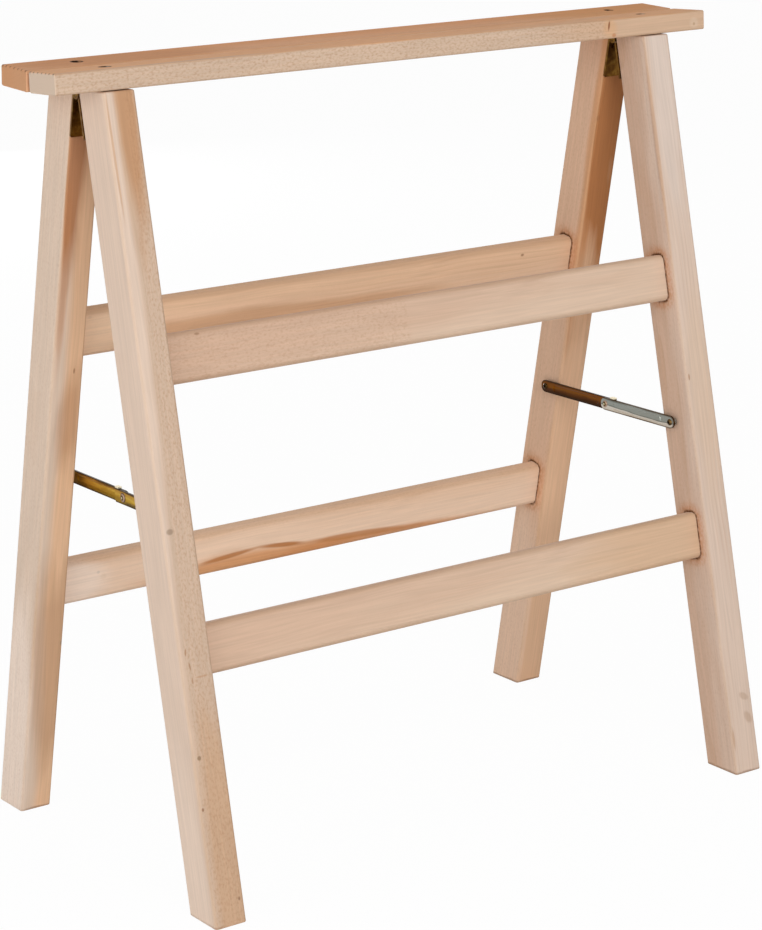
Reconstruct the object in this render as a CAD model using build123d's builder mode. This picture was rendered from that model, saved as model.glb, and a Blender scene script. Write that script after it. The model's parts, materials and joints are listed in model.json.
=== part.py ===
from build123d import *
import os
from math import atan, cos, radians, sin

# Folding trestle of raw beech, open and standing on the floor. X runs along the top rails,
# the front frame stands on the -Y side, Z is up and the floor is Z = 0. The two leg frames
# turn on two table hinges under the split top, and a two-link folding stay on each side
# holds them apart. Sizes are in millimetres and degrees.

# Overall sizes
overall_height = 750.0
rail_length = 750.0
leg_splay = 11.6  # lean of each frame from the vertical
rail_tilt = 2.4  # each half of the top dips this much towards the middle

# Timber
rail_width = 46.0
rail_height = 19.0
rail_gap = 4.6  # between the undersides of the two halves of the top
rail_overhang = 47.5  # top rail beyond the outside of the leg
leg_width = 33.0  # along X
leg_depth = 43.0  # square to the frame
cross_height = 46.0
cross_thickness = 18.0
cross_setback = 12.5  # cross rail behind the outer face of the leg
upper_cross_drop = 221.0  # hinge axis to the top of the upper cross rail, down the leg
lower_cross_drop = 481.5
leg_arris = 3.0
cross_arris = 6.0
rail_arris = 2.0
end_arris = 0.8
leg_top_arris = 2.0
leg_top_gap = 1.0  # under the rail, at the outer edge of the leg's top
tenon_length = 18.0
tenon_shoulder = 5.0  # cross rail outside its tenon, all round
glue_gap = 0.1  # tenon to mortise

# Table hinges
axis_drop = 5.3  # hinge axis below the lowest edge of the top rails
hinge_offset = 5.0  # hinge axis to the inner face of a leg
leaf_length = 41.5  # from the axis down the leg
leaf_thickness = 2.0
leaf_corner = 1.5
barrel_radius = 4.7
knuckle_gap = 0.3
pin_radius = 2.7
pin_chamfer = 0.6
running_fit = 0.1  # radial, where one piece turns on another

# Folding stays: the lower link lies next to the legs, the upper link on top of it
stay_drop = 389.0  # hinge axis to the stay's pivot, down the leg
stay_depth = 16.5  # stay's pivot from the inner face of the leg
link_height = 12.8
link_thickness = 1.8
link_gap = 0.3  # between the two links of one stay
bead_width = 8.0
bead_corner = 3.0
bead_height = 0.7
bead_end = 13.0  # pivot to the end of the pressed bead
bead_slope = 60.0  # of the bead's sides, from the square
washer_thickness = 2.5
washer_radius = 3.6
side_play = 0.15  # link to the washer below it and to the screw head above it
lug_reach = 14.0  # lower link past the rivet
lug_length = 6.0
lug_gap = 0.3  # lug to the edge of the upper link
link_corner = 2.5
rivet_radius = 2.5
rivet_head_radius = 3.6
rivet_head_height = 1.7
rivet_tail_radius = 4.6
rivet_tail_height = 1.4
rivet_fit = 0.05

# Screws
screw_fit = 0.05
rail_screw_radius = 2.5
rail_screw_head = 4.6
rail_screw_length = 50.0
rail_screw_sink = 2.5  # head below the top of the rail
hinge_screw_radius = 1.75
hinge_screw_head = 3.5
hinge_screw_length = 14.0
hinge_screw_margin = 5.0  # upper two screws of a leaf, from its sides
upper_screw_drop = 9.5  # hinge axis to the upper two screws of a leaf
lower_screw_drop = 30.0
stay_screw_radius = 2.2
stay_screw_head = 3.3
stay_screw_crown = 1.6  # height of the round head
stay_screw_bite = 22.0  # in the leg
point_length = 4.0
recess_width = 1.0
recess_depth = 1.2
recess_reach = 0.55  # of the head's radius

# Places that follow from the sizes
lean = radians(leg_splay)
tilt = radians(rail_tilt)
leg_top_tilt = tilt - atan(leg_top_gap / leg_depth)
rail_seat = overall_height - rail_height * cos(tilt) - rail_width * sin(tilt)
axis_height = rail_seat - axis_drop
leg_outer_x = rail_length / 2 - rail_overhang
leg_inner_x = leg_outer_x - leg_width
leg_middle_x = leg_outer_x - leg_width / 2
leg_middle_y = hinge_offset + leg_depth / 2
leg_reach = axis_height / cos(lean) + leg_depth  # past the floor, before the foot is cut
cross_middle_y = hinge_offset + leg_depth - cross_setback - cross_thickness / 2
tenon_height = cross_height - 2 * tenon_shoulder
tenon_thickness = cross_thickness - 2 * tenon_shoulder
knuckle_pitch = leg_width / 3
stay_y = (hinge_offset + stay_depth) * cos(lean) + stay_drop * sin(lean)
stay_z = axis_height + (hinge_offset + stay_depth) * sin(lean) - stay_drop * cos(lean)
link_length = stay_y  # pivot to rivet: the stay is straight when the trestle is open
lower_link_z = washer_thickness + side_play
upper_link_z = lower_link_z + link_thickness + link_gap

SIDES = {"back": 1, "front": -1}
ENDS = {"left": -1, "right": 1}
LOWER_LINK = {"left": "front", "right": "back"}  # the two stays are turned half round to each other
UPPER_LINK = {"left": "back", "right": "front"}


def frame_plane(side):
    """Leg frame: origin on the hinge axis, local Y out of the frame, local Z up the legs."""
    up = (0, -side * sin(lean), cos(lean))
    return Plane(origin=(0, 0, axis_height), x_dir=(side, 0, 0), z_dir=up)


def rail_plane(side, dip=tilt):
    """Underside of a top rail: origin on its inner edge, local Y outwards."""
    seat = (0, side * rail_gap / 2, rail_seat)
    return Plane(origin=seat, x_dir=(side, 0, 0), z_dir=(0, -side * sin(dip), cos(dip)))


def stay_plane(end, height):
    """Parallel to the inside of the legs at one end, that far above it; local Y is up."""
    origin = (end * (leg_inner_x - height), 0, stay_z)
    return Plane(origin=origin, x_dir=(0, -end, 0), z_dir=(-end, 0, 0))


def moved(plane, x, y, z=0):
    """The same plane with its origin at a local point."""
    return Plane(origin=plane.from_local_coords((x, y, z)), x_dir=plane.x_dir, z_dir=plane.z_dir)


def stood_up(plane):
    """The plane turned about its local X, so that its normal becomes local Y."""
    return Plane(origin=plane.origin, x_dir=plane.x_dir, z_dir=-plane.y_dir)


def flipped(plane):
    return Plane(origin=plane.origin, x_dir=plane.x_dir, z_dir=-plane.z_dir)


def places(planes):
    return [plane.location for plane in planes]


def rail_screw_plane(side, end):
    """Top of a screw head, below the top of the rail."""
    height = rail_height - rail_screw_sink
    return moved(rail_plane(side), side * end * leg_middle_x, rail_width / 2, height)


def leaf_screw_planes(side, end):
    """Screw seats on the open side of one leaf; their normals point at the other frame."""
    middle = side * end * leg_middle_x
    spread = leg_width / 2 - hinge_screw_margin
    spots = (
        (middle - spread, upper_screw_drop),
        (middle + spread, upper_screw_drop),
        (middle, lower_screw_drop),
    )
    seat = hinge_offset - leaf_thickness
    return [stood_up(moved(frame_plane(side), x, seat, -drop)) for x, drop in spots]


def stay_pivot(side, end, height):
    """Pivot of the link on one leg, as a plane that far above the leg's inside."""
    return moved(stay_plane(end, height), -side * end * stay_y, 0)


def link_base(side_name, end_name):
    """Height of a link's lower face above the inside of the leg."""
    return lower_link_z if LOWER_LINK[end_name] == side_name else upper_link_z


def turn_about(plane):
    """Revolve a half section that was drawn on the plane stood up."""
    revolve(axis=Axis(plane.origin, plane.z_dir))


def cut_recesses(planes, head_radius):
    """Cross recess in each screw head."""
    reach = 2 * recess_reach * head_radius
    with Locations(*places(planes)):
        Box(reach, recess_width, 2 * recess_depth, mode=Mode.SUBTRACT)
        Box(recess_width, reach, 2 * recess_depth, mode=Mode.SUBTRACT)


def make_top_rail(side):
    with BuildPart() as rail:
        with BuildSketch(rail_plane(side)):
            Rectangle(rail_length, rail_width, align=(Align.CENTER, Align.MIN))
        extrude(amount=rail_height)
        fillet(rail.edges().filter_by(Axis.X), rail_arris)
        chamfer(rail.faces().filter_by(Axis.X).edges(), end_arris)
        with Locations(*places([rail_screw_plane(side, end) for end in ENDS.values()])):
            CounterSinkHole(
                rail_screw_radius + screw_fit,
                rail_screw_head + screw_fit,
                depth=2 * rail_height,
                counter_sink_angle=90,
            )
    return rail


def make_leg(side, end):
    frame = frame_plane(side)
    local_end = side * end
    with BuildPart() as leg:
        with BuildSketch(frame.offset(-leg_reach)):
            with Locations((local_end * leg_middle_x, leg_middle_y)):
                RectangleRounded(leg_width, leg_depth, leg_arris)
        extrude(amount=leg_reach + leg_depth)
        split(bisect_by=rail_plane(side, leg_top_tilt), keep=Keep.BOTTOM)
        split(bisect_by=Plane.XY, keep=Keep.TOP)
        end_grain = leg.faces().sort_by(Axis.Z)
        fillet(end_grain[0].edges(), end_arris)
        fillet(end_grain[-1].edges(), leg_top_arris)
        for drop in (upper_cross_drop, lower_cross_drop):
            mouth = moved(frame, local_end * leg_inner_x, cross_middle_y, -drop - cross_height / 2)
            with Locations(mouth.location):
                Box(
                    tenon_length + glue_gap,
                    tenon_thickness + 2 * glue_gap,
                    tenon_height + 2 * glue_gap,
                    align=(Align.MIN if local_end > 0 else Align.MAX, Align.CENTER, Align.CENTER),
                    mode=Mode.SUBTRACT,
                )
        with Locations(rail_screw_plane(side, end).location):
            Hole(rail_screw_radius + screw_fit, depth=rail_screw_length)
        with Locations(*places(leaf_screw_planes(side, end))):
            Hole(hinge_screw_radius + screw_fit, depth=hinge_screw_length)
        with Locations(stay_pivot(side, end, 0).location):
            Hole(stay_screw_radius + screw_fit, depth=stay_screw_bite)
    return leg


def make_cross_rail(side, drop):
    middle = moved(frame_plane(side), 0, cross_middle_y, -drop - cross_height / 2)
    section = Plane(origin=middle.origin, x_dir=middle.y_dir, z_dir=middle.x_dir)
    with BuildPart() as cross_rail:
        with BuildSketch(section):
            RectangleRounded(cross_thickness, cross_height, cross_arris)
        extrude(amount=leg_inner_x, both=True)
        with BuildSketch(section):
            Rectangle(tenon_thickness, tenon_height)
        extrude(amount=leg_inner_x + tenon_length, both=True)
    return cross_rail


def make_leaf(side, end):
    """Hinge leaf with rolled knuckles: the outer two on the back leaf, the middle one on the front leaf."""
    middle = moved(frame_plane(side), side * end * leg_middle_x, 0)
    outer = places([moved(middle, -knuckle_pitch, 0), moved(middle, knuckle_pitch, 0)])
    inner = places([middle])
    own, other = (outer, inner) if side == SIDES["back"] else (inner, outer)
    with BuildPart() as leaf:
        with BuildSketch(stood_up(moved(middle, 0, hinge_offset))) as plate:
            Rectangle(leg_width, leaf_length, align=(Align.CENTER, Align.MAX))
            fillet(plate.vertices().sort_by(Axis.Y)[:2], leaf_corner)
        extrude(amount=leaf_thickness)
        with Locations(*other):
            Box(
                knuckle_pitch + knuckle_gap,
                2 * hinge_offset,
                2 * (barrel_radius + knuckle_gap),
                mode=Mode.SUBTRACT,
            )
        with Locations(*own):
            Cylinder(barrel_radius, knuckle_pitch - knuckle_gap, rotation=(0, 90, 0))
        with Locations(middle.location):
            Cylinder(pin_radius + running_fit, leg_width, rotation=(0, 90, 0), mode=Mode.SUBTRACT)
        with Locations(*places(leaf_screw_planes(side, end))):
            CounterSinkHole(
                hinge_screw_radius + screw_fit,
                hinge_screw_head + screw_fit,
                depth=2 * leaf_thickness,
                counter_sink_angle=90,
            )
    return leaf


def make_pin(end):
    with BuildPart() as pin:
        with BuildSketch(Plane(origin=(end * leg_middle_x, 0, axis_height), z_dir=(1, 0, 0))):
            Circle(pin_radius)
        extrude(amount=leg_width / 2, both=True)
        chamfer(pin.edges().filter_by(GeomType.CIRCLE), pin_chamfer)
    return pin


def make_countersunk_screws(planes, radius, head_radius, length):
    """Flush wood screws with a 90 degree head, one on each plane."""
    with BuildPart() as screws:
        for plane in planes:
            with BuildSketch(stood_up(plane)):
                with BuildLine():
                    Polyline(
                        (0, 0),
                        (head_radius, 0),
                        (radius, radius - head_radius),
                        (radius, point_length - length),
                        (0, -length),
                        close=True,
                    )
                make_face()
            turn_about(plane)
        cut_recesses(planes, head_radius)
    return screws


def make_stay_screws(side_name):
    """Round-headed pivot screws, one in each leg of a frame; a link turns on the plain shank."""
    crowns = []
    with BuildPart() as screws:
        for end_name, end in ENDS.items():
            seat = link_base(side_name, end_name) + link_thickness + side_play
            plane = stay_pivot(SIDES[side_name], end, seat)
            crowns.append(plane.offset(stay_screw_crown))
            length = seat + stay_screw_bite
            with BuildSketch(stood_up(plane)):
                with BuildLine():
                    Polyline(
                        (stay_screw_head, 0),
                        (stay_screw_radius, 0),
                        (stay_screw_radius, point_length - length),
                        (0, -length),
                        (0, stay_screw_crown),
                    )
                    TangentArc((0, stay_screw_crown), (stay_screw_head, 0), tangent=(1, 0))
                make_face()
            turn_about(plane)
        cut_recesses(crowns, stay_screw_head)
    return screws


def make_stay_spacers(side_name):
    """Washer under a lower link, bush under an upper link."""
    with BuildPart() as spacers:
        for end_name, end in ENDS.items():
            with BuildSketch(stay_pivot(SIDES[side_name], end, 0)):
                Circle(washer_radius)
                Circle(stay_screw_radius + screw_fit, mode=Mode.SUBTRACT)
            extrude(amount=link_base(side_name, end_name) - side_play)
    return spacers


def bead_outline(face):
    """Foot of the stiffening bead that is pressed along a link."""
    with BuildSketch(face) as outline:
        RectangleRounded(link_length - 2 * bead_end, bead_width, bead_corner)
    return outline.sketch


def press_bead(hollow_face):
    """Raise the bead on the far side of a link and hollow it on this side, along the plane's normal."""
    raised_face = hollow_face.offset(link_thickness)
    extrude(bead_outline(raised_face), amount=bead_height, taper=bead_slope)
    extrude(bead_outline(hollow_face), amount=bead_height, taper=bead_slope, mode=Mode.SUBTRACT)


def make_lower_link(end):
    """Link next to the legs: it runs past the rivet, and its lug stops the stay when it is straight."""
    face = stay_plane(end, lower_link_z)
    lug_x = lug_reach - lug_length
    lug_top = link_height / 2 + lug_gap + link_thickness
    with BuildPart() as link:
        with BuildSketch(face) as outline:
            with Locations((-link_length / 2, 0)):
                SlotCenterToCenter(link_length, link_height)
            Rectangle(lug_reach, link_height, align=(Align.MIN, Align.CENTER))
            far_corners = outline.vertices().sort_by(Axis.X)[-2:]
            fillet(far_corners.sort_by(Axis.Y)[0], link_corner)
            with Locations((lug_x, 0)):
                Rectangle(lug_length, lug_top, align=(Align.MIN, Align.MIN))
            with Locations((-link_length, 0)):
                Circle(stay_screw_radius + running_fit, mode=Mode.SUBTRACT)
            Circle(rivet_radius + rivet_fit, mode=Mode.SUBTRACT)
        extrude(amount=link_thickness)
        with BuildSketch(face):
            with Locations((lug_x, lug_top)):
                Rectangle(lug_length, link_thickness, align=(Align.MIN, Align.MAX))
        extrude(amount=2 * link_thickness + link_gap)
        press_bead(flipped(moved(face, -link_length / 2, 0, link_thickness)))
    return link


def make_upper_link(end):
    face = stay_plane(end, upper_link_z)
    with BuildPart() as link:
        with BuildSketch(face):
            with Locations((link_length / 2, 0)):
                SlotCenterToCenter(link_length, link_height)
            with Locations((link_length, 0)):
                Circle(stay_screw_radius + running_fit, mode=Mode.SUBTRACT)
            Circle(rivet_radius + rivet_fit, mode=Mode.SUBTRACT)
        extrude(amount=link_thickness)
        press_bead(moved(face, link_length / 2, 0))
    return link


def make_rivet_half(plane, head_radius, head_height):
    """Round head on the plane, with the shank through one link below it."""
    with BuildPart() as half:
        with BuildSketch(stood_up(plane)):
            with BuildLine():
                Polyline(
                    (head_radius, 0),
                    (rivet_radius, 0),
                    (rivet_radius, -link_thickness),
                    (0, -link_thickness),
                    (0, head_height),
                )
                TangentArc((0, head_height), (head_radius, 0), tangent=(1, 0))
            make_face()
        turn_about(plane)
    return half


def save(piece, name):
    piece.part.label = name
    export_step(piece.part, f"parts/{name}.step")


os.makedirs("parts", exist_ok=True)

for side_name, side in SIDES.items():
    save(make_top_rail(side), f"{side_name}_top_rail")
    save(make_cross_rail(side, upper_cross_drop), f"{side_name}_upper_cross_rail")
    save(make_cross_rail(side, lower_cross_drop), f"{side_name}_lower_cross_rail")
    for end_name, end in ENDS.items():
        save(make_leg(side, end), f"{side_name}_{end_name}_leg")
        save(make_leaf(side, end), f"{side_name}_{end_name}_hinge_leaf")
    rail_seats = [rail_screw_plane(side, end) for end in ENDS.values()]
    rail_screws = make_countersunk_screws(rail_seats, rail_screw_radius, rail_screw_head, rail_screw_length)
    save(rail_screws, f"{side_name}_rail_screws")
    leaf_seats = [plane for end in ENDS.values() for plane in leaf_screw_planes(side, end)]
    leaf_screws = make_countersunk_screws(
        leaf_seats, hinge_screw_radius, hinge_screw_head, hinge_screw_length
    )
    save(leaf_screws, f"{side_name}_hinge_screws")
    save(make_stay_screws(side_name), f"{side_name}_stay_screws")
    save(make_stay_spacers(side_name), f"{side_name}_stay_spacers")

for end_name, end in ENDS.items():
    save(make_pin(end), f"{end_name}_hinge_pin")
    save(make_lower_link(end), f"{LOWER_LINK[end_name]}_{end_name}_stay_link")
    save(make_upper_link(end), f"{UPPER_LINK[end_name]}_{end_name}_stay_link")
    head_seat = stay_plane(end, upper_link_z + link_thickness)
    save(make_rivet_half(head_seat, rivet_head_radius, rivet_head_height), f"{end_name}_rivet_head")
    tail_seat = flipped(stay_plane(end, lower_link_z))
    save(make_rivet_half(tail_seat, rivet_tail_radius, rivet_tail_height), f"{end_name}_rivet_tail")
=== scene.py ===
# %% [markdown]
# # A folding trestle of raw beech
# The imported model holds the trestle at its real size: two leg frames that turn on table hinges under a
# split top, and a two-link folding stay on each side. This lesson gives every piece its finish, cuts real
# threads on the screws, and sets the camera where the photograph was taken from.

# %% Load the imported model
import json
from dataclasses import dataclass
from math import atan2, cos, degrees, radians, sin, tau

import bpy
import numpy as np
from mathutils import Matrix, Quaternion, Vector


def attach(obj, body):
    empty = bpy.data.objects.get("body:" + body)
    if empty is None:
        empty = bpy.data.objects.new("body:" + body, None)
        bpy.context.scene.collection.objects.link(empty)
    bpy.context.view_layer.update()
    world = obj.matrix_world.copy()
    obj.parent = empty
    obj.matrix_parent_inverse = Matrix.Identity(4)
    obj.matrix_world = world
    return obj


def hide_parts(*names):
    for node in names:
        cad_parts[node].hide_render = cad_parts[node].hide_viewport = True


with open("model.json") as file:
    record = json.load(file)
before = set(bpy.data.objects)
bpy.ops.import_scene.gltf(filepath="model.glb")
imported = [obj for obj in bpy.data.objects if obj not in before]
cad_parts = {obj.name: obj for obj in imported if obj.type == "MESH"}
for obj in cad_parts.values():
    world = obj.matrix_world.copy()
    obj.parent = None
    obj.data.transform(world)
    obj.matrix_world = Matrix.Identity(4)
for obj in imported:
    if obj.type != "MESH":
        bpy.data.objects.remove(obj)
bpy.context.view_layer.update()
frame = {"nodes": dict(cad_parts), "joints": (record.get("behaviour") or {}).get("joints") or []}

# %% [markdown]
# ## How the frames stand
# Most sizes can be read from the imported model. The fold's axis gives the height of the hinges, and since the
# frames are parallel when folded, half of its range is the lean of each frame. Only the dip of the split
# top isn't written in the record, so it is repeated here. From the lean come two directions for each frame:
# up its legs, and through it towards the back.

# %% Directions of the two frames
MM = 0.001
SIDES = {"front": -1, "back": 1}
ENDS = {"left": -1, "right": 1}
LENGTHWAYS = Vector((1, 0, 0))
RAIL_DIP = radians(2.4)
fold = next(joint for joint in frame["joints"] if joint["name"] == "fold")
lean = radians(fold["range_deg"][1]) / 2


def up_along(side, angle):
    return Vector((0, -SIDES[side] * sin(angle), cos(angle)))


def to_back(side, angle):
    return Vector((0, cos(angle), SIDES[side] * sin(angle)))


print("hinge axis at", round(fold["pos_m"][2] / MM, 1), "mm, lean", round(degrees(lean), 2), "degrees")

# %% [markdown]
# ## The camera
# The photograph was taken from the front left with a long lens, and trimmed close to the trestle. So the
# middle of the picture isn't the middle of the lens, and the camera needs a small shift. Heading, dip and
# roll are those of the view direction.

# %% Camera
LENS_MM = 112.1
LENS_SHIFT = (0.0711, -0.1440)
CAMERA_PLACE = (-1.6059, -2.2151, 1.0639)
HEADING, DIP, ROLL = radians(34.665), radians(12.356), radians(0.954)

view_direction = Vector((sin(HEADING) * cos(DIP), cos(HEADING) * cos(DIP), -sin(DIP)))
camera = bpy.data.objects.new("camera", bpy.data.cameras.new("camera"))
camera.data.lens = LENS_MM
camera.data.shift_x, camera.data.shift_y = LENS_SHIFT
camera.location = CAMERA_PLACE
camera.rotation_mode = "QUATERNION"
camera.rotation_quaternion = view_direction.to_track_quat("-Z", "Y") @ Quaternion((0, 0, 1), -ROLL)
bpy.context.scene.collection.objects.link(camera)
bpy.context.scene.camera = camera
bpy.context.scene.view_settings.view_transform = "Standard"
print("camera", [round(value, 3) for value in camera.location], "lens", LENS_MM, "mm")

# %% [markdown]
# ## Colours and nodes
# Colours are written as the hex values that a screen shows. Shaders work in linear light, so one function
# converts them. One more function adds a node, sets it and links it, which keeps every material readable:
# a value for a socket is either a plain value or the output that feeds it.

# %% Colours and nodes


def linear(hex_colour):
    """An sRGB colour such as "#D8B99C" as linear RGBA."""
    channels = [int(hex_colour[i : i + 2], 16) / 255 for i in (1, 3, 5)]
    return tuple(c / 12.92 if c <= 0.04045 else ((c + 0.055) / 1.055) ** 2.4 for c in channels) + (1.0,)


def add(tree, kind, sockets=None, **settings):
    """Add a node: settings are its properties, sockets its inputs by name or number."""
    node = tree.nodes.new(kind)
    for key, value in settings.items():
        setattr(node, key, value)
    for key, value in (sockets or {}).items():
        if isinstance(value, bpy.types.NodeSocket):
            tree.links.new(value, node.inputs[key])
        else:
            node.inputs[key].default_value = value
    return node


def empty_tree(owner):
    owner.use_nodes = True
    owner.node_tree.nodes.clear()
    return owner.node_tree


print("linear of a mid beech tone", [round(c, 3) for c in linear("#D2AE90")])

# %% [markdown]
# A few kinds of node come back again and again. Each gets a short word that adds the node and gives its
# output, so that a pattern reads like a formula: arithmetic on numbers and on vectors, a ramp from one range
# to another, a space for a pattern, noise of a given grain, and a blend of two colours.

# %% Short words for common nodes
MIX_A, MIX_B, MIX_RESULT = 6, 7, 2
NO_PLACE = (0, 0, 0)
STRAIGHT = (0, 0, 0)


def maths(tree, operation, *values):
    return add(tree, "ShaderNodeMath", dict(enumerate(values)), operation=operation).outputs[0]


def vector_maths(tree, operation, *values):
    node = add(tree, "ShaderNodeVectorMath", dict(enumerate(values)), operation=operation)
    return node.outputs["Value" if operation in ("LENGTH", "DOT_PRODUCT") else "Vector"]


def ramp(tree, value, start=0.0, end=1.0, low=0.0, high=1.0, **settings):
    """Low where the value is at start, high where it is at end."""
    sockets = {"Value": value, "From Min": start, "From Max": end, "To Min": low, "To Max": high}
    return add(tree, "ShaderNodeMapRange", sockets, **settings).outputs[0]


def smooth_ramp(tree, value, start, end, high=1.0):
    """As a ramp from zero, with a soft start and a soft end."""
    return ramp(tree, value, start, end, high=high, interpolation_type="SMOOTHSTEP")


def space_for(tree, vector, size, place=NO_PLACE, turn=STRAIGHT):
    """The vector seen from a place, turned, and counted in steps of that size."""
    sockets = {"Vector": vector, "Location": place, "Rotation": turn, "Scale": size}
    return add(tree, "ShaderNodeMapping", sockets, vector_type="TEXTURE").outputs[0]


def noise(tree, vector, size, detail, roughness=0.5, turn=STRAIGHT, output="Fac"):
    """Noise with a grain of that size."""
    space = space_for(tree, vector, size, turn=turn)
    sockets = {"Vector": space, "Scale": 1.0, "Detail": detail, "Roughness": roughness}
    return add(tree, "ShaderNodeTexNoise", sockets).outputs[output]


def blend(tree, share, base, tone, **settings):
    """The base colour with that share of the tone mixed in."""
    sockets = {0: share, MIX_A: base, MIX_B: tone}
    return add(tree, "ShaderNodeMix", sockets, data_type="RGBA", **settings).outputs[MIX_RESULT]


short_words = (maths, vector_maths, ramp, smooth_ramp, space_for, noise, blend)
print("short words", [word.__name__ for word in short_words])

# %% [markdown]
# ## Floor, background and light
# The picture has a plain white ground. A white floor under strong light would burn out the pale beech, so
# the light stays at a plain level and the ground is lifted to white only where the camera, a mirror or a
# clear surface looks at it. The floor mixes in its real shading, and so it keeps the shadow.

# %% Floor
FLOOR_HALF = 8.0
FLOOR_WHITENESS = 0.97
CORNERS = ((-1, -1), (1, -1), (1, 1), (-1, 1))


def seen_directly(tree):
    """1 for rays from the camera, from gloss or through glass, else 0."""
    path = add(tree, "ShaderNodeLightPath").outputs
    shown = maths(tree, "MAXIMUM", path["Is Camera Ray"], path["Is Glossy Ray"])
    return maths(tree, "MAXIMUM", shown, path["Is Transmission Ray"])


def white_floor():
    material = bpy.data.materials.new("white_floor")
    tree = empty_tree(material)
    lift = maths(tree, "MULTIPLY", seen_directly(tree), FLOOR_WHITENESS)
    matt = add(tree, "ShaderNodeBsdfDiffuse", {"Color": linear("#EFEFEE")})
    glow = add(tree, "ShaderNodeEmission", {"Strength": 1.0})
    mixed = add(tree, "ShaderNodeMixShader", {0: lift, 1: matt.outputs[0], 2: glow.outputs[0]})
    add(tree, "ShaderNodeOutputMaterial", {"Surface": mixed.outputs[0]})
    return material


floor_mesh = bpy.data.meshes.new("floor")
floor_mesh.from_pydata([Vector((x, y, 0)) * FLOOR_HALF for x, y in CORNERS], [], [(0, 1, 2, 3)])
floor_mesh.materials.append(white_floor())
floor = bpy.data.objects.new("floor", floor_mesh)
bpy.context.scene.collection.objects.link(floor)
print("floor", 2 * FLOOR_HALF, "m square")

# %% [markdown]
# The world is a white room that gives a soft light from all sides. It is white to look at, and gives less
# light than it seems to.

# %% World
WORLD_LIGHT = 0.336
world = bpy.data.worlds.new("white_room")
bpy.context.scene.world = world
world_tree = empty_tree(world)
room_level = ramp(world_tree, seen_directly(world_tree), low=WORLD_LIGHT)
room = add(world_tree, "ShaderNodeBackground", {"Color": linear("#FFFFFF"), "Strength": room_level})
add(world_tree, "ShaderNodeOutputWorld", {"Surface": room.outputs[0]})
print("room light", WORLD_LIGHT)

# %% [markdown]
# Four soft lamps light the beech. The left one stands close, so that the legs on the far side get less of
# its light, as the photograph shows. The front one stands far off and lights both frames alike. The back one
# is low, so that it hardly touches what the photograph shows, and lights the trestle for a walk round it.

# %% Soft lamps
LAMPS = {
    "left_softbox": dict(place=(-2.0, -0.45, 0.75), size=1.5, watts=15),
    "front_softbox": dict(place=(-1.2, -4.3, 2.2), size=2.8, watts=116),
    "top_softbox": dict(place=(-0.2, -0.4, 3.0), size=1.4, watts=9),
    "back_softbox": dict(place=(1.2, 4.1, 0.35), size=0.9, watts=78),
}
LAMP_TARGET = Vector((0, 0, 0.4))

for name, lamp in LAMPS.items():
    light = bpy.data.lights.new(name, "AREA")
    light.size = lamp["size"]
    light.energy = lamp["watts"]
    softbox = bpy.data.objects.new(name, light)
    softbox.location = lamp["place"]
    softbox.rotation_mode = "QUATERNION"
    softbox.rotation_quaternion = (LAMP_TARGET - softbox.location).to_track_quat("-Z", "Y")
    bpy.context.scene.collection.objects.link(softbox)
print("lamps", sorted(LAMPS))

# %% [markdown]
# ## Beech
# Planed, unfinished beech is pale and close-grained: faint growth rings, fine fibres along the piece, and
# the short brown dashes of its rays. A flat picture on each face would break at every edge. So the pattern
# is made in three dimensions and each timber is cut from it: rings about a pith that lies outside the piece,
# rays that point at that pith. On a face across the rays they are brown dashes and flecks, on a face along
# them they hardly show.
#
# Every timber has its own axes: the first runs along the grain, the second across it and the third in
# depth, in millimetres from the timber's middle. A leg's run up, to the right and to the back; a rail's
# run to the right, to the back and up. A Mapping node turns Object coordinates into these.

# %% The own axes of each timber
ALONG, ACROSS, DEPTH = 0, 1, 2
LEVELS = ("upper", "lower")


class Timber:
    """Middle, axes and half sizes of one straight piece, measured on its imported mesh."""

    def __init__(self, node_name, along, across):
        self.name = node_name
        self.axes = Matrix((along, across, along.cross(across))).transposed()
        points = np.array([vertex.co for vertex in frame["nodes"][node_name].data.vertices])
        own = points @ np.array(self.axes)
        low, high = own.min(axis=0), own.max(axis=0)
        self.middle = self.axes @ Vector((low + high) / 2)
        self.half = [float(size) for size in (high - low) / 2 / MM]


timbers = {}
for side in SIDES:
    pieces = [(f"{side}_top_rail", LENGTHWAYS, to_back(side, RAIL_DIP))]
    pieces += [(f"{side}_{end}_leg", up_along(side, lean), LENGTHWAYS) for end in ENDS]
    pieces += [(f"{side}_{level}_cross_rail", LENGTHWAYS, to_back(side, lean)) for level in LEVELS]
    for node_name, along, across in pieces:
        timbers[node_name] = Timber(node_name, along, across)
for timber in timbers.values():
    print(timber.name, "half sizes in mm", [round(size, 1) for size in timber.half])

# %% [markdown]
# Several features share the same few noises. A slow sway bends the grain a little along the piece, mottling
# makes one stretch differ from the next, and fibres, flecks and rays are noise with long, thin grains. The
# rays are drawn larger than life, so that they show in the render.

# %% Grain that the features share
WANDER_STEP_MM, WANDER_MM = (320.0, 60.0, 60.0), 9.0
MOTTLE_MM = (150.0, 26.0, 26.0)
FIBRE_MM = (90.0, 1.8, 1.8)
RAY_MM = (4.5, 1.3, 26.0)
FLECK_MM = (3.2, 1.9, 26.0)
DASH_EDGE = (0.45, 0.15)
MARK_WANDER_MM = 3.0
MIDDLE_GREY = (0.5, 0.5, 0.5)


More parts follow.
